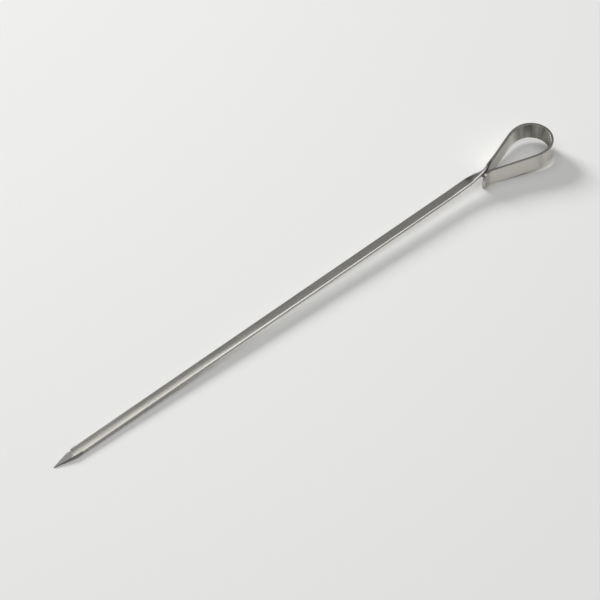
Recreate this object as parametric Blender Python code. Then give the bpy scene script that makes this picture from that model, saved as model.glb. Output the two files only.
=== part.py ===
"""A flat metal kebab skewer, made from one piece of round wire.

The wire is rolled flat and lies flat for the length of the blade. Near the handle it turns on
edge, widens, and bends round into a teardrop loop whose free end lies beside the neck.
The skewer rests as it would on a table: on its point, on the neck and on the free end.
"""
import math

import bmesh
import bpy
from mathutils import Vector

# The blade, in metres
BLADE_WIDTH = 0.0063
BLADE_THICKNESS = 0.00205

# The ground point: how far it reaches back, and the half width it opens by for each metre of that
POINT_LENGTH = 0.0125
POINT_TOP_SLOPE = 0.192
POINT_BOTTOM_SLOPE = 0.250
POINT_HALF_WIDTH = 0.00012
POINT_THICKNESS = 0.00040

# The strip of the handle, which stands on edge
HANDLE_WIDTH = 0.0104
HANDLE_THICKNESS = 0.0017
HANDLE_EDGE_RADIUS = 0.00022

# Heights of the middle of the strip above the table
BLADE_HEIGHT_AT_POINT = 0.00090
BLADE_HEIGHT_AT_NECK = 0.00670
LOOP_LIFT = 0.0026

# How the blade becomes the handle, as (distance from the point, value) down the neck: degrees
# turned on edge, width, thickness, radius of the edges' rounding, and the share of the way that it
# has come down onto the table
TWIST = ((0.280, 0.0), (0.287, 3.5), (0.293, 9.0), (0.298, 28.0), (0.303, 49.0), (0.308, 84.0), (0.312, 90.0))
WIDTH = ((0.296, BLADE_WIDTH), (0.303, 0.0078), (0.308, 0.0096), (0.3125, HANDLE_WIDTH))
THICKNESS = ((0.300, BLADE_THICKNESS), (0.312, 0.0019), (0.318, HANDLE_THICKNESS))
EDGE_RADIUS = ((0.288, BLADE_THICKNESS / 2.0), (0.303, 0.00075), (0.314, HANDLE_EDGE_RADIUS))
SETTLED = ((0.280, 0.0), (0.287, -0.3), (0.293, -0.57), (0.299, -0.8), (0.303, -0.7), (0.308, 0.16), (0.3125, 1.0))

# The route of the strip seen from above, as runs of
# (length, degrees it turns to the left, share of the run that eases in and out, rings)
ROUTE = (
    (0.0020, 0.0, 0.2, 1),
    (0.0080, 0.0, 0.2, 4),
    (0.0060, 0.0, 0.2, 6),
    (0.2500, 0.0, 0.2, 13),
    (0.0190, 0.0, 0.2, 4),
    (0.0060, -2.2, 0.3, 4),
    (0.0065, 2.2, 0.3, 5),
    (0.0220, 18.3, 0.3, 20),
    (0.0088, 0.0, 0.2, 2),
    (0.0626, -218.7, 0.276, 38),
    (0.0194, 0.0, 0.2, 5),
    (0.0065, 33.5, 0.3, 11),
    (0.0019, 0.0, 0.2, 7),
)
STEPS_PER_RING = 12
LOOP_START = 0.3115
LOOP_END = 0.351

# The free end of the strip has rounded corners
TOP_CORNER = 0.0027
BOTTOM_CORNER = 0.0011

# Facets round the section of the strip
EDGE_FACETS = 6
FACE_FACETS = 3

STEEL_COLOUR = (0.60, 0.59, 0.57, 1.0)
STEEL_ROUGHNESS = 0.28
SMOOTH_BELOW = math.radians(30)


def remove_everything():
    for thing in list(bpy.data.objects):
        bpy.data.objects.remove(thing)


def follow(stations, distance):
    """A smooth value through the stations, steady outside them and never overshooting between them."""
    if distance <= stations[0][0]:
        return stations[0][1]
    if distance >= stations[-1][0]:
        return stations[-1][1]
    slopes = [
        (value_after - value) / (place_after - place)
        for (place, value), (place_after, value_after) in zip(stations, stations[1:])
    ]
    lasting = [0.0]
    for slope, slope_after in zip(slopes, slopes[1:]):
        rising_together = slope * slope_after > 0.0
        lasting.append(2.0 / (1.0 / slope + 1.0 / slope_after) if rising_together else 0.0)
    lasting.append(0.0)
    index = max(i for i in range(len(slopes)) if stations[i][0] <= distance)
    place, value = stations[index]
    span = stations[index + 1][0] - place
    share = (distance - place) / span
    blend = share * share * (3.0 - 2.0 * share)
    leaving = share * (1.0 - share) ** 2 * span * lasting[index]
    arriving = share * share * (share - 1.0) * span * lasting[index + 1]
    return value + (stations[index + 1][1] - value) * blend + leaving + arriving


def share_turned(share, shoulder):
    """How much of a bend is done at a share of its length, where its curvature rises and falls smoothly."""
    if share > 0.5:
        return 1.0 - share_turned(1.0 - share, shoulder)
    if share < shoulder:
        done = share / 2.0 - shoulder / (2.0 * math.pi) * math.sin(math.pi * share / shoulder)
    else:
        done = share - shoulder / 2.0
    return done / (1.0 - shoulder)


def walk_route():
    """The stations of the strip: distance along it, place and heading seen from above."""
    place = Vector((0.0, 0.0))
    heading = 0.0
    distance = 0.0
    stations = [(distance, place.copy(), heading)]
    for length, turn_degrees, shoulder, rings in ROUTE:
        turn = math.radians(turn_degrees)
        steps = rings * STEPS_PER_RING
        for step in range(steps):
            middle = heading + turn * share_turned((step + 0.5) / steps, shoulder)
            place += Vector((math.cos(middle), math.sin(middle))) * (length / steps)
            if (step + 1) % STEPS_PER_RING == 0:
                share = (step + 1) / steps
                turned = heading + turn * share_turned(share, shoulder)
                stations.append((distance + length * share, place.copy(), turned))
        distance += length
        heading += turn
    return stations


def strip_height(distance, place):
    """Height of the middle of the strip: the blade climbs to the neck, and the loop climbs on from there."""
    climb = (BLADE_HEIGHT_AT_NECK - BLADE_HEIGHT_AT_POINT) / LOOP_START
    blade = BLADE_HEIGHT_AT_POINT + climb * distance
    along_loop = max(0.0, (place.x - LOOP_START) / (LOOP_END - LOOP_START))
    loop = HANDLE_WIDTH / 2.0 + LOOP_LIFT * along_loop
    return blade + (loop - blade) * follow(SETTLED, distance)


def corner_cut(from_end, radius):
    """How much a rounded corner takes off the side of the strip, this far from its end."""
    inward = radius - from_end
    if inward <= 0.0:
        return 0.0
    return radius - math.sqrt(max(radius * radius - inward * inward, 0.0))


def section(width, thickness, edge_radius, top_reach, bottom_reach):
    """The strip's section as points (across, through): flat faces and rounded edges.

    A point outside the line from top_reach to bottom_reach is moved onto it, which is the ground flat.
    """
    half_thickness = thickness / 2.0
    radius = min(edge_radius, half_thickness)
    flat = width / 2.0 - radius
    corner = half_thickness - radius
    lean = (bottom_reach - top_reach) / thickness

    def ground(across, through):
        reach = (top_reach + bottom_reach) / 2.0 - lean * through
        return (min(max(across, -reach), reach), through)

    points = []
    for side in (1.0, -1.0):
        for facet in range(EDGE_FACETS + 1):
            angle = math.pi * (facet / EDGE_FACETS - 0.5)
            across = flat + radius * math.cos(angle)
            face = (facet * 2 > EDGE_FACETS) - (facet * 2 < EDGE_FACETS)
            through = corner * face + radius * math.sin(angle)
            points.append(ground(side * across, side * through))
        reach = top_reach if side > 0 else bottom_reach
        half_face = min(flat, reach)
        for facet in range(1, FACE_FACETS):
            share = 1.0 - 2.0 * facet / FACE_FACETS
            points.append((side * half_face * share, side * half_thickness))
    return points


def ring(station, ahead, route_length):
    """The section's points in space at one station of the strip."""
    distance, place, heading = station
    width = follow(WIDTH, distance)
    thickness = follow(THICKNESS, distance)
    edge_radius = follow(EDGE_RADIUS, distance)
    twist = math.radians(follow(TWIST, distance))

    # The point is ground on both sides, and its top slopes down to the table
    unground = min(distance / POINT_LENGTH, 1.0)
    blade_underside = BLADE_THICKNESS / 2.0 - BLADE_HEIGHT_AT_POINT
    thinned = (BLADE_THICKNESS - POINT_THICKNESS) * (1.0 - unground)
    underside_rise = blade_underside * (1.0 - unground)
    lowered = underside_rise - thinned / 2.0
    thickness -= thinned
    top_reach = POINT_HALF_WIDTH + POINT_TOP_SLOPE * distance
    bottom_reach = POINT_HALF_WIDTH + POINT_BOTTOM_SLOPE * distance

    # The free end's corners narrow the strip
    top_cut = corner_cut(route_length - distance, TOP_CORNER)
    bottom_cut = corner_cut(route_length - distance, BOTTOM_CORNER)
    width -= top_cut + bottom_cut
    raised = (bottom_cut - top_cut) / 2.0

    # The edge on the right of the route goes up as the strip turns on edge
    left = Vector((-math.sin(heading), math.cos(heading), 0.0))
    up = ahead.cross(left).normalized()
    across_way = left * math.cos(twist) - up * math.sin(twist)
    through_way = left * math.sin(twist) + up * math.cos(twist)
    middle = Vector((place.x, place.y, strip_height(distance, place)))
    middle += through_way * lowered - across_way * raised
    return [
        middle + across_way * across + through_way * through
        for across, through in section(width, thickness, edge_radius, top_reach, bottom_reach)
    ]


def strip_rings():
    stations = walk_route()
    route_length = stations[-1][0]
    middles = [
        Vector((place.x, place.y, strip_height(distance, place)))
        for distance, place, heading in stations
    ]
    rings = []
    for index, station in enumerate(stations):
        before = middles[max(index - 1, 0)]
        after = middles[min(index + 1, len(middles) - 1)]
        rings.append(ring(station, (after - before).normalized(), route_length))
    return rings


def loft(name, rings):
    """One closed mesh through the rings, with a flat cap at each end."""
    mesh = bpy.data.meshes.new(name)
    work = bmesh.new()
    rows = [[work.verts.new(point) for point in points] for points in rings]
    for row, following in zip(rows, rows[1:]):
        for index in range(len(row)):
            beside = (index + 1) % len(row)
            work.faces.new((row[index], row[beside], following[beside], following[index]))
    work.faces.new(reversed(rows[0]))
    work.faces.new(rows[-1])
    bmesh.ops.recalc_face_normals(work, faces=work.faces)
    work.to_mesh(mesh)
    work.free()
    return mesh


def steel():
    material = bpy.data.materials.new("skewer_steel")
    material.use_nodes = True
    shader = material.node_tree.nodes["Principled BSDF"]
    shader.inputs["Base Color"].default_value = STEEL_COLOUR
    shader.inputs["Metallic"].default_value = 1.0
    shader.inputs["Roughness"].default_value = STEEL_ROUGHNESS
    return material


def make_skewer(collection):
    """The whole strip, placed so that the middle of its box stands over the origin."""
    rings = strip_rings()
    points = [point for points in rings for point in points]
    lowest = Vector([min(point[axis] for point in points) for axis in range(3)])
    highest = Vector([max(point[axis] for point in points) for axis in range(3)])
    mesh = loft("skewer", rings)
    mesh.shade_smooth()
    mesh.set_sharp_from_angle(angle=SMOOTH_BELOW)
    mesh.materials.append(steel())
    skewer = bpy.data.objects.new("skewer", mesh)
    skewer.location = (
        -(lowest.x + highest.x) / 2.0,
        -(lowest.y + highest.y) / 2.0,
        -lowest.z,
    )
    collection.objects.link(skewer)
    return skewer


remove_everything()
parts = bpy.data.collections.new("metal_kebab_skewer")
bpy.context.scene.collection.children.link(parts)
make_skewer(parts)
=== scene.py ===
"""The looks of a flat metal kebab skewer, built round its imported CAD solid."""
import math

import bpy
from mathutils import Euler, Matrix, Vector


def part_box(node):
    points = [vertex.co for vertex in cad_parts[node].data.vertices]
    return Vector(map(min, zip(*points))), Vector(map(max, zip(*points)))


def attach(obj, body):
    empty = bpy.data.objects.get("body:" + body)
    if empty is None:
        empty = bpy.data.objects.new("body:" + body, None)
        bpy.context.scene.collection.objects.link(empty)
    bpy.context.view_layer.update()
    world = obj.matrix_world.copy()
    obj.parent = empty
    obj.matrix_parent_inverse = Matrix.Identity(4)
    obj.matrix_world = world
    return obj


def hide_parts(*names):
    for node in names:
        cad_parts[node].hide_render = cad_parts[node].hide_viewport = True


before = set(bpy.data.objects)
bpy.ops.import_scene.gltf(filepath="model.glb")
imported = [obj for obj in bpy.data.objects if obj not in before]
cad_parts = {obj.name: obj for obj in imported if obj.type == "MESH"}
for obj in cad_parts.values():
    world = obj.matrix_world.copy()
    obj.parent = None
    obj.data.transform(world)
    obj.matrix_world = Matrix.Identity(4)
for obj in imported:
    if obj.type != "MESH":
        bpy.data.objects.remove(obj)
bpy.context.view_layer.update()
cad_low, cad_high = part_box("skewer")


# The strip's route.
# The real skewer is one length of round wire, rolled flat. It runs straight from the point for the
# length of the blade, bends a little at the neck, and then goes round a teardrop to its free end.
BLADE_WIDTH = 0.0063
BLADE_THICKNESS = 0.00205
HANDLE_WIDTH = 0.0104
HANDLE_THICKNESS = 0.0017
HANDLE_EDGE_RADIUS = 0.00022

BLADE_HEIGHT_AT_POINT = 0.00090
BLADE_HEIGHT_AT_NECK = 0.00670
LOOP_START = 0.3115
LOOP_END = 0.351
LOOP_LIFT = 0.0026

# The faces are crowned towards the point, and nearly flat in the handle: (distance, share of the
# thickness that the crown takes off at the edge of the face)
CROWN = ((0.010, 0.12), (0.075, 0.11), (0.110, 0.08), (0.150, 0.03), (0.200, 0.02))

# The neck, as (distance from the point, value): degrees turned on edge, width, thickness, radius of
# the edges' rounding, and the share of the way that the strip has come down onto the table
TWIST = (
    (0.280, 0.0),
    (0.287, 3.5),
    (0.293, 9.0),
    (0.298, 28.0),
    (0.303, 49.0),
    (0.308, 84.0),
    (0.312, 90.0),
)
WIDTH = ((0.296, BLADE_WIDTH), (0.303, 0.0078), (0.308, 0.0096), (0.3125, HANDLE_WIDTH))
THICKNESS = ((0.300, BLADE_THICKNESS), (0.312, 0.0019), (0.318, HANDLE_THICKNESS))
EDGE_RADIUS = ((0.288, BLADE_THICKNESS / 2.0), (0.303, 0.00075), (0.314, HANDLE_EDGE_RADIUS))
SETTLED = (
    (0.280, 0.0),
    (0.287, -0.3),
    (0.293, -0.57),
    (0.299, -0.8),
    (0.303, -0.7),
    (0.308, 0.16),
    (0.3125, 1.0),
)

# Runs of the route: length, degrees it turns to the left, share that eases in and out, rings
ROUTE = (
    (0.0124, 0.0, 0.2, 14),
    (0.0002, 0.0, 0.2, 2),
    (0.0034, 0.0, 0.2, 5),
    (0.2500, 0.0, 0.2, 50),
    (0.0190, 0.0, 0.2, 8),
    (0.0060, -2.2, 0.3, 10),
    (0.0065, 2.2, 0.3, 14),
    (0.0220, 18.3, 0.3, 54),
    (0.0088, 0.0, 0.2, 7),
    (0.0626, -218.7, 0.276, 110),
    (0.0194, 0.0, 0.2, 18),
    (0.0065, 33.5, 0.3, 26),
    (0.0019, 0.0, 0.2, 10),
)
STEPS_PER_RING = 6


def follow(stations, distance):
    """A smooth value through the stations, steady outside them and never overshooting between them."""
    if distance <= stations[0][0]:
        return stations[0][1]
    if distance >= stations[-1][0]:
        return stations[-1][1]
    slopes = [
        (value_after - value) / (place_after - place)
        for (place, value), (place_after, value_after) in zip(stations, stations[1:])
    ]
    lasting = [0.0]
    for slope, slope_after in zip(slopes, slopes[1:]):
        rising_together = slope * slope_after > 0.0
        lasting.append(2.0 / (1.0 / slope + 1.0 / slope_after) if rising_together else 0.0)
    lasting.append(0.0)
    index = max(i for i in range(len(slopes)) if stations[i][0] <= distance)
    place, value = stations[index]
    span = stations[index + 1][0] - place
    share = (distance - place) / span
    blend = share * share * (3.0 - 2.0 * share)
    leaving = share * (1.0 - share) ** 2 * span * lasting[index]
    arriving = share * share * (share - 1.0) * span * lasting[index + 1]
    return value + (stations[index + 1][1] - value) * blend + leaving + arriving


def share_turned(share, shoulder):
    """How much of a bend is done at a share of its length, where its curvature rises and falls smoothly."""
    if share > 0.5:
        return 1.0 - share_turned(1.0 - share, shoulder)
    if share < shoulder:
        done = share / 2.0 - shoulder / (2.0 * math.pi) * math.sin(math.pi * share / shoulder)
    else:
        done = share - shoulder / 2.0
    return done / (1.0 - shoulder)


def walk_route():
    """The stations of the strip: distance along it, place and heading seen from above."""
    place = Vector((0.0, 0.0))
    heading = 0.0
    distance = 0.0
    stations = [(distance, place.copy(), heading)]
    for length, turn_degrees, shoulder, rings in ROUTE:
        turn = math.radians(turn_degrees)
        steps = rings * STEPS_PER_RING
        for step in range(steps):
            middle = heading + turn * share_turned((step + 0.5) / steps, shoulder)
            place += Vector((math.cos(middle), math.sin(middle))) * (length / steps)
            if (step + 1) % STEPS_PER_RING == 0:
                share = (step + 1) / steps
                turned = heading + turn * share_turned(share, shoulder)
                stations.append((distance + length * share, place.copy(), turned))
        distance += length
        heading += turn
    return stations


def strip_height(distance, place):
    """Height of the strip's middle: the blade climbs to the neck, and the loop climbs on from there."""
    climb = (BLADE_HEIGHT_AT_NECK - BLADE_HEIGHT_AT_POINT) / LOOP_START
    blade = BLADE_HEIGHT_AT_POINT + climb * distance
    along_loop = max(0.0, (place.x - LOOP_START) / (LOOP_END - LOOP_START))
    loop = HANDLE_WIDTH / 2.0 + LOOP_LIFT * along_loop
    return blade + (loop - blade) * follow(SETTLED, distance)


# The ground point and the free end.
# The point is ground to a slant on both sides, and its top slopes down to the tip. The free end is
# cut square, its corners are rounded off and its rim is deburred.
POINT_LENGTH = 0.0125
POINT_TOP_SLOPE = 0.192
POINT_BOTTOM_SLOPE = 0.250
POINT_HALF_WIDTH = 0.00012
POINT_THICKNESS = 0.00040
TOP_CORNER = 0.0027
BOTTOM_CORNER = 0.0011
RIM_ROUNDING = 0.00018
RIM_STEPS = 3

# The flat cap has one ring inside its rim, at this share of its size
CAP_RING_SHARE = 0.5


def corner_cut(from_end, radius):
    """How much a rounded corner takes off the side of the strip, this far from its end."""
    inward = radius - from_end
    if inward <= 0.0:
        return 0.0
    return radius - math.sqrt(max(radius * radius - inward * inward, 0.0))


def strip_ring(station, ahead, route_length):
    """What the loft needs at one station: the middle, two directions, the sizes and the grinding.

    Closing is the share of its full size that the section has there.
    """
    distance, place, heading = station
    width = follow(WIDTH, distance)
    thickness = follow(THICKNESS, distance)
    twist = math.radians(follow(TWIST, distance))

    unground = min(distance / POINT_LENGTH, 1.0)
    thinned = (BLADE_THICKNESS - POINT_THICKNESS) * (1.0 - unground)
    underside_rise = (BLADE_THICKNESS / 2.0 - BLADE_HEIGHT_AT_POINT) * (1.0 - unground)

    top_cut = corner_cut(route_length - distance, TOP_CORNER)
    bottom_cut = corner_cut(route_length - distance, BOTTOM_CORNER)

    left = Vector((-math.sin(heading), math.cos(heading), 0.0))
    up = ahead.cross(left).normalized()
    across_way = left * math.cos(twist) - up * math.sin(twist)
    through_way = left * math.sin(twist) + up * math.cos(twist)
    middle = Vector((place.x, place.y, strip_height(distance, place)))
    middle += through_way * (underside_rise - thinned / 2.0)
    middle -= across_way * (bottom_cut - top_cut) / 2.0
    return {
        "middle": middle,
        "across_way": across_way,
        "through_way": through_way,
        "width": width - top_cut - bottom_cut,
        "thickness": thickness - thinned,
        "edge_radius": follow(EDGE_RADIUS, distance),
        "crown": follow(CROWN, distance),
        "top_reach": POINT_HALF_WIDTH + POINT_TOP_SLOPE * distance,
        "bottom_reach": POINT_HALF_WIDTH + POINT_BOTTOM_SLOPE * distance,
        "distance": distance,
        "inset": 0.0,
        "closing": 1.0,
    }


def rim(ring, outward):
    """The rings past the free end: a rounded rim, a ring on the flat cap, and the cap's middle."""
    rings = []
    for step in range(1, RIM_STEPS + 1):
        angle = math.pi / 2.0 * step / RIM_STEPS
        forward = RIM_ROUNDING * (math.sin(angle) - 1.0)
        inset = RIM_ROUNDING * (1.0 - math.cos(angle))
        rings.append({**ring, "middle": ring["middle"] + outward * forward, "inset": inset})
    rings.append({**ring, "inset": RIM_ROUNDING, "closing": CAP_RING_SHARE})
    rings.append({**ring, "inset": RIM_ROUNDING, "closing": 0.0})
    return rings


stations = walk_route()
route_length = stations[-1][0]
middles = [
    Vector((place.x, place.y, strip_height(distance, place)))
    for distance, place, heading in stations
]
aheads = [
    (middles[min(index + 1, len(middles) - 1)] - middles[max(index - 1, 0)]).normalized()
    for index in range(len(middles))
]
strip_rings = [
    strip_ring(station, ahead, route_length)
    for station, ahead in zip(stations, aheads)
]
free_end = rim(strip_rings[-1], aheads[-1])
strip_rings[-1]["middle"] = strip_rings[-1]["middle"] - aheads[-1] * RIM_ROUNDING
tip = {**strip_rings[0], "closing": 0.0}
strip_rings = [tip] + strip_rings + free_end

# The route as an edge line, with what the loft needs written on its points
route_mesh = bpy.data.meshes.new("strip_route")
route_mesh.from_pydata(
    [ring["middle"] for ring in strip_rings],
    [(index, index + 1) for index in range(len(strip_rings) - 1)],
    [],
)
for name in ("across_way", "through_way"):
    attribute = route_mesh.attributes.new(name, "FLOAT_VECTOR", "POINT")
    attribute.data.foreach_set("vector", [value for ring in strip_rings for value in ring[name]])
ring_sizes = (
    "width",
    "thickness",
    "edge_radius",
    "crown",
    "top_reach",
    "bottom_reach",
    "distance",
    "inset",
    "closing",
)
for name in ring_sizes:
    attribute = route_mesh.attributes.new(name, "FLOAT", "POINT")
    attribute.data.foreach_set("value", [ring[name] for ring in strip_rings])


# The strip's section.
# Rolling leaves two slightly crowned faces. The edges between them are still half round in the blade,
# and squarer in the handle. The section is an outline that the loft sizes to the strip at each ring.
EDGE_FACETS = 14
FACE_FACETS = 10


def section_outline():
    """Points round the section: share of the flat half width, then across and through on the edge."""
    outline = []
    for side in (1.0, -1.0):
        for facet in range(EDGE_FACETS + 1):
            angle = math.pi * (facet / EDGE_FACETS - 0.5)
            outline.append((side, side * math.cos(angle), side * math.sin(angle)))
        for facet in range(1, FACE_FACETS):
            share = 1.0 - 2.0 * facet / FACE_FACETS
            outline.append((side * share, 0.0, side))
    return outline + outline[:1]


outline = section_outline()
outline_mesh = bpy.data.meshes.new("strip_section")
outline_mesh.from_pydata(outline, [(index, index + 1) for index in range(len(outline) - 1)], [])


# The loft.
# The strip's skin is one grid. Each of its points finds its ring on the route and its place on the
# section, and is moved there. Its distance along, across and through the strip is kept on it, because
# the metal's grain follows the strip.
class Tree:
    """A node tree being built, with short ways to add and join nodes."""

    def __init__(self, tree):
        self.tree = tree

    def node(self, kind, inputs=None, **settings):
        made = self.tree.nodes.new(kind)
        for name, value in settings.items():
            setattr(made, name, value)
        for key, value in (inputs or {}).items():
            self.feed(made.inputs[key], value)
        return made

    def feed(self, socket, value):
        if isinstance(value, bpy.types.NodeSocket):
            self.tree.links.new(value, socket)
        else:
            socket.default_value = value

    def math(self, operation, *values, clamp=False):
        made = self.node("ShaderNodeMath", operation=operation, use_clamp=clamp)
        for index, value in enumerate(values):
            self.feed(made.inputs[index], value)
        return made.outputs[0]

    def times(self, product, *factors):
        for factor in factors:
            product = self.math("MULTIPLY", product, factor)
        return product

    def highest(self, found, *others):
        for other in others:
            found = self.math("MAXIMUM", found, other)
        return found

    def scaled(self, vector, factor):
        made = self.node("ShaderNodeVectorMath", operation="SCALE")
        self.feed(made.inputs["Vector"], vector)
        self.feed(made.inputs["Scale"], factor)
        return made.outputs["Vector"]

    def added(self, first, second):
        made = self.node("ShaderNodeVectorMath", operation="ADD")
        self.feed(made.inputs[0], first)
        self.feed(made.inputs[1], second)
        return made.outputs["Vector"]


# An outline point goes with the upper or the lower face when it is this far off the middle
OFF_MIDDLE = 0.001

# The least width to divide by, and how near two points are to be joined, in metres
LEAST_FLAT = 0.0001
MERGE_DISTANCE = 0.000002


def loft_tree():
    """A node tree that lofts the section along the route it is given."""
    group = bpy.data.node_groups.new("strip_loft", "GeometryNodeTree")
    group.interface.new_socket("Route", in_out="INPUT", socket_type="NodeSocketGeometry")
    group.interface.new_socket("Section", in_out="INPUT", socket_type="NodeSocketObject")
    group.interface.new_socket("Rings", in_out="INPUT", socket_type="NodeSocketInt")
    group.interface.new_socket("Outline points", in_out="INPUT", socket_type="NodeSocketInt")
    group.interface.new_socket("Metal", in_out="INPUT", socket_type="NodeSocketMaterial")
    group.interface.new_socket("Strip", in_out="OUTPUT", socket_type="NodeSocketGeometry")
    tree = Tree(group)
    given = tree.node("NodeGroupInput").outputs
    section = tree.node("GeometryNodeObjectInfo", {"Object": given["Section"]}).outputs["Geometry"]
    grid = tree.node(
        "GeometryNodeMeshGrid",
        {"Vertices X": given["Rings"], "Vertices Y": given["Outline points"]},
    ).outputs["Mesh"]

    index = tree.node("GeometryNodeInputIndex").outputs["Index"]
    ring = tree.math("FLOOR", tree.math("DIVIDE", index, given["Outline points"]))
    spot = tree.math("SUBTRACT", index, tree.times(ring, given["Outline points"]))

    def on_route(name, kind="FLOAT"):
        field = tree.node("GeometryNodeInputNamedAttribute", {"Name": name}, data_type=kind)
        sample = tree.node("GeometryNodeSampleIndex", {"Geometry": given["Route"]}, data_type=kind)
        tree.feed(sample.inputs["Value"], field.outputs["Attribute"])
        tree.feed(sample.inputs["Index"], ring)
        return sample.outputs["Value"]

    def position_of(geometry, place):
        field = tree.node("GeometryNodeInputPosition").outputs["Position"]
        sample = tree.node("GeometryNodeSampleIndex", {"Geometry": geometry}, data_type="FLOAT_VECTOR")
        tree.feed(sample.inputs["Value"], field)
        tree.feed(sample.inputs["Index"], place)
        return sample.outputs["Value"]

    outline_point = tree.node("ShaderNodeSeparateXYZ", {"Vector": position_of(section, spot)}).outputs
    inset = on_route("inset")
    half_width = tree.math("SUBTRACT", tree.times(on_route("width"), 0.5), inset)
    half_thickness = tree.math("SUBTRACT", tree.times(on_route("thickness"), 0.5), inset)
    radius = tree.math("MINIMUM", on_route("edge_radius"), half_thickness)
    flat = tree.math("SUBTRACT", half_width, radius)

    # Through the strip: its faces, the round of its edges, and between those the flat of its edges
    face = tree.math(
        "SUBTRACT",
        tree.math("GREATER_THAN", outline_point["Z"], OFF_MIDDLE),
        tree.math("LESS_THAN", outline_point["Z"], -OFF_MIDDLE),
    )
    through = tree.math(
        "ADD",
        tree.times(outline_point["Z"], radius),
        tree.times(face, tree.math("SUBTRACT", half_thickness, radius)),
    )

    # The ground flats: past the line from the top's reach to the bottom's, a point is moved onto it
    top = on_route("top_reach")
    bottom = on_route("bottom_reach")
    downward = tree.math("MULTIPLY_ADD", tree.math("DIVIDE", through, half_thickness), -0.5, 0.5)
    reach = tree.math("ADD", top, tree.times(tree.math("SUBTRACT", bottom, top), downward))
    flat_here = tree.math("MINIMUM", flat, reach)
    across = tree.math(
        "ADD",
        tree.times(outline_point["X"], flat_here),
        tree.times(outline_point["Y"], radius),
    )
    across = tree.highest(tree.math("MINIMUM", across, reach), tree.times(reach, -1.0))

    # The crown takes a little off each face towards its edges
    across_share = tree.math("DIVIDE", across, tree.highest(flat, LEAST_FLAT))
    off = tree.times(across_share, across_share, on_route("crown"))
    through = tree.times(through, tree.math("SUBTRACT", 1.0, off))

    closing = on_route("closing")
    across = tree.times(across, closing)
    through = tree.times(through, closing)
    place = tree.added(
        position_of(given["Route"], ring),
        tree.added(
            tree.scaled(on_route("across_way", "FLOAT_VECTOR"), across),
            tree.scaled(on_route("through_way", "FLOAT_VECTOR"), through),
        ),
    )
    shaped = tree.node("GeometryNodeSetPosition", {"Geometry": grid, "Position": place}).outputs["Geometry"]

    def with_stored(geometry, name, kind, value):
        stored = tree.node(
            "GeometryNodeStoreNamedAttribute",
            {"Geometry": geometry, "Name": name},
            data_type=kind,
            domain="POINT",
        )
        tree.feed(stored.inputs["Value"], value)
        return stored.outputs["Geometry"]

    # For the metal: metres along, across and through the strip, and how far round an edge a point is
    strip_place = tree.node(
        "ShaderNodeCombineXYZ", {"X": on_route("distance"), "Y": across, "Z": through}
    ).outputs["Vector"]
    shaped = with_stored(shaped, "along_across_through", "FLOAT_VECTOR", strip_place)
    shaped = with_stored(shaped, "on_edge", "FLOAT", tree.math("ABSOLUTE", outline_point["Y"]))
    merged = tree.node(
        "GeometryNodeMergeByDistance", {"Geometry": shaped, "Distance": MERGE_DISTANCE}
    ).outputs["Geometry"]
    realized = tree.node("GeometryNodeRealizeInstances", {"Geometry": merged}).outputs["Geometry"]
    finished = tree.node(
        "GeometryNodeSetMaterial", {"Geometry": realized, "Material": given["Metal"]}
    ).outputs["Geometry"]
    tree.feed(tree.node("NodeGroupOutput").inputs["Strip"], finished)
    return group


# The metal.
# Stainless steel, rolled and belt-polished along its length, with faint scratches and duller patches.
# Its sharp corners are painted brighter, for wear and as painted glints. The inside of the loop, the edges
# of the handle and the turn of the neck are painted dark, as painted shade and dark reflections, and the
# outside of the loop is painted brighter, as painted reflection. The blade is more satin towards the point,
# which is ground across and painted darker, partly as a painted dark reflection.
STEEL_COLOUR = (0.66, 0.645, 0.605, 1.0)
# The next colour paints sheen on the outside of the loop, and wear and glints on sharp corners
WEAR_AND_SHEEN_COLOUR = (0.85, 0.82, 0.765, 1.0)
# The next colour is the steel's duller patches and satin, and it also paints shade on the turned free end
DULL_AND_SHADE_COLOUR = (0.50, 0.48, 0.445, 1.0)
# The next colour paints shade and dark reflections on the handle's edges, inside the bend and at the cut
# end
PAINTED_SHADE_COLOUR = (0.20, 0.19, 0.175, 1.0)
# The next colour is the ground finish of the point, and it also paints the point's dark reflection
GROUND_AND_SHADE_COLOUR = (0.25, 0.246, 0.238, 1.0)
# The next colour paints deep shade on the neck's turn, beside the free end and under the point's ridge
DEEP_PAINTED_SHADE_COLOUR = (0.06, 0.057, 0.052, 1.0)


def shader_group(name, inputs, outputs):
    """A new shader group with named sockets, and what is needed to fill it."""
    group = bpy.data.node_groups.new(name, "ShaderNodeTree")
    for socket_name, kind, value in inputs:
        socket = group.interface.new_socket(socket_name, in_out="INPUT", socket_type=kind)
        if value is not None:
            socket.default_value = value
    for socket_name in outputs:
        group.interface.new_socket(socket_name, in_out="OUTPUT", socket_type="NodeSocketFloat")
    tree = Tree(group)
    return tree, tree.node("NodeGroupInput").outputs, tree.node("NodeGroupOutput").inputs


def stretched_noise(tree, place, per_metre, detail, roughness):
    """Noise whose cells are stretched by their own number per metre along, across and through the strip."""
    scale = tree.node("ShaderNodeCombineXYZ", dict(zip("XYZ", per_metre))).outputs["Vector"]
    stretched = tree.node("ShaderNodeVectorMath", {0: place, 1: scale}, operation="MULTIPLY")
    noise = tree.node("ShaderNodeTexNoise", {"Scale": 1.0, "Detail": detail, "Roughness": roughness})
    tree.feed(noise.inputs["Vector"], stretched.outputs["Vector"])
    return noise.outputs["Fac"]


def risen(tree, value, rise, interpolation="SMOOTHSTEP"):
    """A mask that goes from 0 at the first number of the pair to 1 at the second."""
    ramp = tree.node("ShaderNodeMapRange", interpolation_type=interpolation)
    for name, given_value in (("Value", value), ("From Min", rise[0]), ("From Max", rise[1])):
        tree.feed(ramp.inputs[name], given_value)
    return ramp.outputs["Result"]


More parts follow.
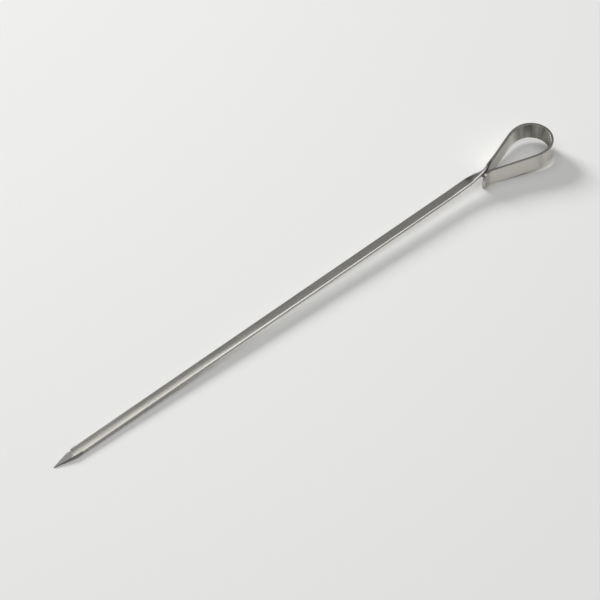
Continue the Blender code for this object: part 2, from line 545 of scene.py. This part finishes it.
# Grain and scratches. A noise is (cells per metre along, across and through the strip), detail, roughness
GRAIN_DETAIL = 2.0
GRAIN_ROUGHNESS = 0.5
SCRATCH_WANDER = ((260.0, 260.0, 260.0), 2.0, 0.5)
SCRATCH_PATCHES = ((90.0, 90.0, 90.0), 1.0, 0.5)
SCRATCHED_ABOVE = 0.52
SCRATCHED_STEEPNESS = 6.0
NOISE_MIDDLE = 0.5


def grain_group():
    """Fine lines along the strip, and a few longer scratches that cross them at a slant."""
    tree, given, result = shader_group(
        "rolled_grain",
        (
            ("Strip place", "NodeSocketVector", None),
            ("Lines per metre", "NodeSocketFloat", 3000.0),
            ("Lines per metre along", "NodeSocketFloat", 70.0),
            ("Scratch slant", "NodeSocketFloat", 0.5),
            ("Scratch thinness", "NodeSocketFloat", 160.0),
        ),
        ("Grain", "Scratches"),
    )
    lines = given["Lines per metre"]
    per_metre = (given["Lines per metre along"], lines, lines)
    grain = stretched_noise(tree, given["Strip place"], per_metre, GRAIN_DETAIL, GRAIN_ROUGHNESS)
    tree.feed(result["Grain"], grain)

    crooked = tree.node(
        "ShaderNodeVectorRotate",
        {"Vector": given["Strip place"], "Angle": given["Scratch slant"]},
        rotation_type="Z_AXIS",
    ).outputs["Vector"]
    wander = stretched_noise(tree, crooked, *SCRATCH_WANDER)
    off_line = tree.math("ABSOLUTE", tree.math("SUBTRACT", wander, NOISE_MIDDLE))
    line = tree.math("SUBTRACT", 1.0, tree.times(off_line, given["Scratch thinness"]), clamp=True)
    patch = stretched_noise(tree, given["Strip place"], *SCRATCH_PATCHES)
    scratched = tree.math("SUBTRACT", patch, SCRATCHED_ABOVE, clamp=True)
    scratched = tree.math("MULTIPLY", scratched, SCRATCHED_STEEPNESS, clamp=True)
    tree.feed(result["Scratches"], tree.times(line, scratched))
    return tree.tree


# Places along the strip, in metres from the tip
HANDLE_START = 0.300
BEND_START = 0.3355
BEND_END = 0.3890
SATIN_TOWARDS_POINT = (0.150, 0.060)

# The masks of the handle, in metres past its start
EDGE_IN = (0.0, 0.012)
TWIST_IN = (-0.011, -0.005)
TWIST_OUT = (0.016, 0.009)
CREASE_IN = (-0.001, 0.002)
CREASE_OUT = (0.0095, 0.007)
SHEEN_IN = (0.008, 0.018)

# The masks of the round bend, in metres past its start or its end
BEND_IN = (0.0, 0.010)
BEND_OUT = (0.0, -0.008)

# The masks of the free end, in metres past the end of the strip
EDGE_OUT = (-0.0016, -0.0034)
SHEEN_OUT = (-0.001, -0.0075)
END_SHADE_REACH = (-0.006, -0.003)
CUT_END = (-0.0005, -0.0002)

# The masks of the point: metres past its length, on a line that slants back across the strip, and
# shares of its length
GROUND_TOP = (0.0018, -0.0014)
GROUND_SLANT = -0.9
FACET_OUT = (1.4, 1.27)
RIDGE_SHADE_OUT = (1.0, 0.92)

# Metres across the strip, towards its far side
FAR_HALF = (0.0, 0.001)
NEAR_SIDE = (-0.00005, -0.00015)

# Metres through the strip, towards the top of the blade and the outside of the loop
INNER_FACE = (0.0003, -0.0003)
TOP_FACE = (-0.0002, 0.0002)
CREASE_FACE = (-0.00005, -0.0004)
UPPER_HALF = (0.00005, 0.0002)

# How far round an edge, from 0 on a face to 1 at the middle of the edge
HANDLE_EDGE = (0.55, 0.90)
OFF_EDGE = (0.6, 0.1)
FACET_EDGE = (0.02, 0.2)
RIDGE_START = (0.0, 0.1)
RIDGE_END = (0.95, 0.80)

# The painted reflection streaks in the bend, and the lines that grinding leaves across the point
BEND_STREAKS = ((210.0, 30.0, 30.0), 2.0, 0.55)
DARK_STREAKS = (0.36, 0.64)
SHEEN_STREAKS = (0.40, 0.60)
GRINDING_LINES = ((5200.0, 700.0, 300.0), 3.0, 0.6)

# How strong the masks are
EDGE_SHARE = 0.85
EDGE_SHARE_AT_END = 0.7
LEAST_STREAK = 0.45
CUT_END_SHARE = 0.15
DEEP_SHADE_SHARE = 0.92
SHEEN_STREAK_SHARE = 0.8
END_SHADE_SHARE = 0.4


def painted_light_and_finish_group():
    """Masks of painted shade, painted sheen and painted dark reflections, and of the ground point with the
    lines across it.
    """
    tree, given, result = shader_group(
        "painted_light_and_finish_masks",
        (
            ("Strip place", "NodeSocketVector", None),
            ("On edge", "NodeSocketFloat", 0.0),
            ("Handle start", "NodeSocketFloat", HANDLE_START),
            ("Bend start", "NodeSocketFloat", BEND_START),
            ("Bend end", "NodeSocketFloat", BEND_END),
            ("Point length", "NodeSocketFloat", POINT_LENGTH),
            ("Strip length", "NodeSocketFloat", route_length),
        ),
        ("Painted shade", "Twist", "Painted sheen", "Satin and end shade", "Ground", "Grinding lines"),
    )
    place = tree.node("ShaderNodeSeparateXYZ", {"Vector": given["Strip place"]}).outputs
    along = place["X"]
    across = place["Y"]
    through = place["Z"]
    on_edge = given["On edge"]

    def past(mark, rise, value=along):
        """A mask whose two distances count from a named place on the strip."""
        return risen(tree, value, [tree.math("ADD", given[mark], distance) for distance in rise])

    def along_point(rise):
        """A mask whose two distances are shares of the point's length."""
        return risen(tree, along, [tree.times(given["Point length"], share) for share in rise])

    def at_least(mask, least):
        """The mask, raised so that it starts from a value above nothing."""
        return tree.math("MULTIPLY_ADD", mask, 1.0 - least, least)

    # The narrow edges of the handle are painted dark, as a painted dark reflection, a little less so at the
    # free end
    end_share = at_least(past("Strip length", EDGE_OUT), EDGE_SHARE_AT_END)
    edge = tree.times(risen(tree, on_edge, HANDLE_EDGE), past("Handle start", EDGE_IN), end_share)

    # The inside of the round bend is painted dark in streaks, as painted dark reflections, and the cut end
    # is painted a little darker, as painted shade
    inner = risen(tree, through, INNER_FACE)
    bend = tree.times(past("Bend start", BEND_IN), past("Bend end", BEND_OUT))
    streaks = stretched_noise(tree, given["Strip place"], *BEND_STREAKS)
    depth = at_least(risen(tree, streaks, DARK_STREAKS), LEAST_STREAK)
    inside = tree.times(inner, bend, depth)
    cut_end = tree.times(past("Strip length", CUT_END), CUT_END_SHARE)
    tree.feed(result["Painted shade"], tree.highest(tree.times(edge, EDGE_SHARE), inside, cut_end))

    # The turn of the neck is painted dark on its top face, apart from the near edge, as painted shade, and
    # painted shade darkens it where the strip comes down beside the free end
    off_near_edge = tree.highest(risen(tree, on_edge, OFF_EDGE), risen(tree, across, FAR_HALF))
    on_top_face = tree.times(off_near_edge, risen(tree, through, TOP_FACE))
    twist = tree.times(past("Handle start", TWIST_IN), past("Handle start", TWIST_OUT), on_top_face)
    gap_shade = tree.times(past("Handle start", CREASE_IN), past("Handle start", CREASE_OUT))
    gap_shade = tree.times(gap_shade, risen(tree, through, CREASE_FACE))

    # A dark line is painted under the ridge of the point, on the near side, as painted shade
    near_top = tree.times(risen(tree, across, NEAR_SIDE), risen(tree, through, UPPER_HALF))
    under_ridge = tree.times(risen(tree, on_edge, RIDGE_START), risen(tree, on_edge, RIDGE_END))
    ridge_shade = tree.times(near_top, tree.times(under_ridge, along_point(RIDGE_SHADE_OUT)))
    tree.feed(result["Twist"], tree.times(tree.highest(twist, gap_shade, ridge_shade), DEEP_SHADE_SHARE))

    # The outside of the loop is painted brightest, as painted reflection, with darker painted reflection
    # streaks in its bend
    outer = tree.math("SUBTRACT", 1.0, inner)
    in_loop = tree.times(past("Handle start", SHEEN_IN), past("Strip length", SHEEN_OUT))
    bend_streaks = tree.times(risen(tree, streaks, SHEEN_STREAKS), tree.times(bend, SHEEN_STREAK_SHARE))
    streaked = tree.math("SUBTRACT", 1.0, bend_streaks)
    tree.feed(result["Painted sheen"], tree.times(outer, in_loop, streaked))

    # The blade is more satin towards the point, and the free end is a little more satin and painted a
    # little darker there, as painted shade
    near_point = risen(tree, along, SATIN_TOWARDS_POINT)
    end_shade = tree.times(past("Strip length", END_SHADE_REACH), END_SHADE_SHARE)
    tree.feed(result["Satin and end shade"], tree.highest(near_point, end_shade))

    # The point's ground finish, painted darker partly as a painted dark reflection, reaches a slanting line
    # across its top, and a little further back at its sides
    slanted = tree.math("MULTIPLY_ADD", across, GROUND_SLANT, along)
    ground_sides = tree.times(along_point(FACET_OUT), risen(tree, on_edge, FACET_EDGE))
    ground = tree.highest(past("Point length", GROUND_TOP, slanted), ground_sides)
    tree.feed(result["Ground"], ground)
    lines = stretched_noise(tree, given["Strip place"], *GRINDING_LINES)
    tree.feed(result["Grinding lines"], lines)
    return tree.tree


# Duller patches a few centimetres long, and how sharply the surface turns at the corners that are painted
# brighter, for wear and as painted glints
DULL_PATCHES = ((45.0, 90.0, 90.0), 4.0, 0.6)
DULL_NOISE = (0.42, 0.68)
SHARP_CORNER_POINTINESS = (0.53, 0.62)

# How much of each colour the masks let in
DULL_SHARE = 0.4
SATIN_SHARE = 0.7
CORNER_WEAR_AND_GLINT_SHARE = 0.6

# The roughness of the polished steel, and what each mask adds to it
POLISHED_ROUGHNESS = 0.13
LINES_ROUGHER = 0.10
DULL_ROUGHER = 0.05
SCRATCHES_ROUGHER = 0.10
DARK_ROUGHER = 0.22
SATIN_ROUGHER = 0.06
GROUND_ROUGHER = 0.10

# The relief of the grain, in metres, and the depth of a scratch beside it
RELIEF_STRENGTH = 0.15
RELIEF_HEIGHT = 0.000012
SCRATCH_DEPTH = 0.8


def steel():
    """The strip's metal: its colour, roughness and relief follow the grain and the masks, and its colour
    carries painted shade, sheen and glints.
    """
    material = bpy.data.materials.new("skewer_steel")
    material.use_nodes = True
    tree = Tree(material.node_tree)
    shader = material.node_tree.nodes["Principled BSDF"]
    shader.inputs["Metallic"].default_value = 1.0

    strip_place = tree.node("ShaderNodeAttribute", attribute_name="along_across_through").outputs["Vector"]
    on_edge = tree.node("ShaderNodeAttribute", attribute_name="on_edge").outputs["Fac"]
    grain = tree.node("ShaderNodeGroup", node_tree=grain_group())
    tree.feed(grain.inputs["Strip place"], strip_place)
    # These masks are mostly painted shade, painted sheen and painted dark reflections
    reach = tree.node("ShaderNodeGroup", node_tree=painted_light_and_finish_group())
    tree.feed(reach.inputs["Strip place"], strip_place)
    tree.feed(reach.inputs["On edge"], on_edge)

    patches = stretched_noise(tree, strip_place, *DULL_PATCHES)
    dull = risen(tree, patches, DULL_NOISE, "LINEAR")
    pointed = tree.node("ShaderNodeNewGeometry").outputs["Pointiness"]
    sharp_corners = risen(tree, pointed, SHARP_CORNER_POINTINESS, "LINEAR")

    # On the ground point the lines run across, elsewhere along
    lines = tree.node("ShaderNodeMix", data_type="FLOAT")
    tree.feed(lines.inputs["Factor"], reach.outputs["Ground"])
    tree.feed(lines.inputs["A"], grain.outputs["Grain"])
    tree.feed(lines.inputs["B"], reach.outputs["Grinding lines"])
    lines = lines.outputs["Result"]

    def blended(share, first, second):
        mix = tree.node("ShaderNodeMix", data_type="RGBA")
        for name, value in (("Factor", share), ("A", first), ("B", second)):
            tree.feed(mix.inputs[name], value)
        return mix.outputs["Result"]

    satin = tree.math("MULTIPLY", reach.outputs["Satin and end shade"], SATIN_SHARE, clamp=True)
    painted_dark = tree.highest(reach.outputs["Painted shade"], reach.outputs["Twist"])
    # Sharp corners are painted brighter, for wear and as painted glints
    corner_wear_and_glint = tree.times(sharp_corners, tree.math("SUBTRACT", CORNER_WEAR_AND_GLINT_SHARE, painted_dark, clamp=True))
    # These blends give the steel's own dull patches, satin and ground point, and paint shade, dark
    # reflections, sheen and glints into the colour
    colour = STEEL_COLOUR
    for share, colour_there in (
        (tree.times(dull, DULL_SHARE), DULL_AND_SHADE_COLOUR),
        (reach.outputs["Painted sheen"], WEAR_AND_SHEEN_COLOUR),
        (satin, DULL_AND_SHADE_COLOUR),
        (reach.outputs["Ground"], GROUND_AND_SHADE_COLOUR),
        (reach.outputs["Painted shade"], PAINTED_SHADE_COLOUR),
        (reach.outputs["Twist"], DEEP_PAINTED_SHADE_COLOUR),
        (corner_wear_and_glint, WEAR_AND_SHEEN_COLOUR),
    ):
        colour = blended(share, colour, colour_there)
    tree.feed(shader.inputs["Base Color"], colour)

    roughness = tree.math("MULTIPLY_ADD", lines, LINES_ROUGHER, POLISHED_ROUGHNESS)
    for mask, rougher in (
        (dull, DULL_ROUGHER),
        (grain.outputs["Scratches"], SCRATCHES_ROUGHER),
        (painted_dark, DARK_ROUGHER),
        (reach.outputs["Satin and end shade"], SATIN_ROUGHER),
        (reach.outputs["Ground"], GROUND_ROUGHER),
    ):
        roughness = tree.math("MULTIPLY_ADD", mask, rougher, roughness)
    tree.feed(shader.inputs["Roughness"], roughness)

    height = tree.math("MULTIPLY_ADD", grain.outputs["Scratches"], -SCRATCH_DEPTH, lines)
    relief = {"Strength": RELIEF_STRENGTH, "Distance": RELIEF_HEIGHT, "Height": height}
    bump = tree.node("ShaderNodeBump", relief)
    tree.feed(shader.inputs["Normal"], bump.outputs["Normal"])
    return material


# Lofting the strip.
# The real strip is one closed body of steel with no join. The route line and the outline go into the
# loft, the strip comes out in their place, and it is set where the CAD box has it.
SMOOTH_BELOW = math.radians(32)

section_object = bpy.data.objects.new("strip_section", outline_mesh)
bpy.context.scene.collection.objects.link(section_object)
route_object = bpy.data.objects.new("strip_route", route_mesh)
bpy.context.scene.collection.objects.link(route_object)
loft = route_object.modifiers.new("loft", "NODES")
loft.node_group = loft_tree()
loft_sizes = {
    "Section": section_object,
    "Rings": len(strip_rings),
    "Outline points": len(outline),
    "Metal": steel(),
}
for socket in loft.node_group.interface.items_tree:
    if socket.name in loft_sizes:
        loft[socket.identifier] = loft_sizes[socket.name]

evaluated = route_object.evaluated_get(bpy.context.evaluated_depsgraph_get())
strip_mesh = bpy.data.meshes.new_from_object(evaluated)
strip_mesh.name = "steel_strip"
route_object.modifiers.remove(loft)
for helper in (route_object, section_object):
    bpy.data.objects.remove(helper)

# The strip takes its place from the CAD box: the tip at its low X, the table at its low Z
tip_x = min(vertex.co.x for vertex in strip_mesh.vertices)
mesh_low_y = min(vertex.co.y for vertex in strip_mesh.vertices)
mesh_high_y = max(vertex.co.y for vertex in strip_mesh.vertices)
mesh_low_z = min(vertex.co.z for vertex in strip_mesh.vertices)
to_frame = Vector((
    cad_low.x - tip_x,
    (cad_low.y + cad_high.y - mesh_low_y - mesh_high_y) / 2.0,
    cad_low.z - mesh_low_z,
))
for vertex in strip_mesh.vertices:
    vertex.co += to_frame
strip_mesh.shade_smooth()
strip_mesh.set_sharp_from_angle(angle=SMOOTH_BELOW)

steel_strip = bpy.data.objects.new("steel_strip", strip_mesh)
bpy.context.scene.collection.objects.link(steel_strip)
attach(steel_strip, "root")
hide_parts("skewer")


# The floor.
# A plain, pale, matt worktop. It is made as one large square that takes the skewer's shadow, and it
# isn't part of the skewer.
FLOOR_SIZE = 6.0
FLOOR_COLOUR = (0.74, 0.74, 0.73, 1.0)
FLOOR_ROUGHNESS = 0.9

floor_mesh = bpy.data.meshes.new("floor")
floor_half = FLOOR_SIZE / 2.0
floor_corners = ((-1.0, -1.0), (1.0, -1.0), (1.0, 1.0), (-1.0, 1.0))
floor_mesh.from_pydata(
    [(x * floor_half, y * floor_half, cad_low.z) for x, y in floor_corners],
    [],
    [(0, 1, 2, 3)],
)
floor_material = bpy.data.materials.new("floor")
floor_material.use_nodes = True
floor_shader = floor_material.node_tree.nodes["Principled BSDF"]
floor_shader.inputs["Base Color"].default_value = FLOOR_COLOUR
floor_shader.inputs["Roughness"].default_value = FLOOR_ROUGHNESS
floor_mesh.materials.append(floor_material)
floor = bpy.data.objects.new("floor", floor_mesh)
bpy.context.scene.collection.objects.link(floor)


# The light.
# One broad soft light overhead, a smaller soft one low on the far side that throws the shadow
# towards the near side, and an even grey surround. Angles are in degrees.
SURROUND = 0.22
SURROUND_COLOUR = (1.0, 1.0, 1.0, 1.0)
OVERHEAD_DISTANCE = 1.2
OVERHEAD_TOWARDS = (0.0, -0.10, 1.0)
OVERHEAD_RADIUS_DEGREES = 37.0
OVERHEAD_RADIANCE = 1.1
KEY_DISTANCE = 3.0
KEY_ELEVATION = 25.7
KEY_AZIMUTH = -4.8
KEY_RADIUS_DEGREES = 10.0
KEY_RADIANCE = 34.0

bpy.context.scene.view_settings.view_transform = "Standard"
world = bpy.data.worlds.new("surround")
world.use_nodes = True
background = world.node_tree.nodes["Background"]
background.inputs["Color"].default_value = SURROUND_COLOUR
background.inputs["Strength"].default_value = SURROUND
bpy.context.scene.world = world


def soft_light(name, way, distance, radius_degrees, radiance):
    """A round soft light as seen from the skewer: which way it lies, how wide and how bright it looks."""
    data = bpy.data.lights.new(name, "AREA")
    data.shape = "DISK"
    radius = distance * math.tan(math.radians(radius_degrees))
    data.size = 2.0 * radius
    data.energy = radiance * math.pi * math.pi * radius * radius
    lamp = bpy.data.objects.new(name, data)
    lamp.location = way.normalized() * distance
    lamp.rotation_euler = way.to_track_quat("Z", "Y").to_euler()
    bpy.context.scene.collection.objects.link(lamp)


key_flat = math.cos(math.radians(KEY_ELEVATION))
soft_light(
    "overhead",
    Vector(OVERHEAD_TOWARDS),
    OVERHEAD_DISTANCE,
    OVERHEAD_RADIUS_DEGREES,
    OVERHEAD_RADIANCE,
)
soft_light(
    "low_far_light",
    Vector((
        key_flat * math.sin(math.radians(KEY_AZIMUTH)),
        key_flat * math.cos(math.radians(KEY_AZIMUTH)),
        math.sin(math.radians(KEY_ELEVATION)),
    )),
    KEY_DISTANCE,
    KEY_RADIUS_DEGREES,
    KEY_RADIANCE,
)


# The camera.
# It looks down at the skewer from the side of the point, from as far off and with as long a lens
# as the photograph shows. Angles are in degrees, and the target is in metres from the tip.
CAMERA_PITCH = 48.755
CAMERA_YAW = 41.751
CAMERA_ROLL = -0.059
CAMERA_DISTANCE = 1.382452
LENS = 154.0
SENSOR = 36.0
TARGET_FROM_TIP = (0.169272, 0.001536)

yaw = math.radians(CAMERA_YAW)
pitch = math.radians(CAMERA_PITCH)
view_way = Vector((
    math.sin(yaw) * math.cos(pitch),
    math.cos(yaw) * math.cos(pitch),
    -math.sin(pitch),
))
camera_data = bpy.data.cameras.new("camera")
camera_data.lens = LENS
camera_data.sensor_width = SENSOR
camera = bpy.data.objects.new("camera", camera_data)
target = Vector((
    TARGET_FROM_TIP[0] + to_frame.x,
    TARGET_FROM_TIP[1] + to_frame.y,
    to_frame.z,
))
camera.location = target - view_way * CAMERA_DISTANCE
camera.rotation_euler = (
    view_way.to_track_quat("-Z", "Y").to_matrix()
    @ Euler((0.0, 0.0, math.radians(-CAMERA_ROLL))).to_matrix()
).to_euler()
bpy.context.scene.collection.objects.link(camera)
bpy.context.scene.camera = camera
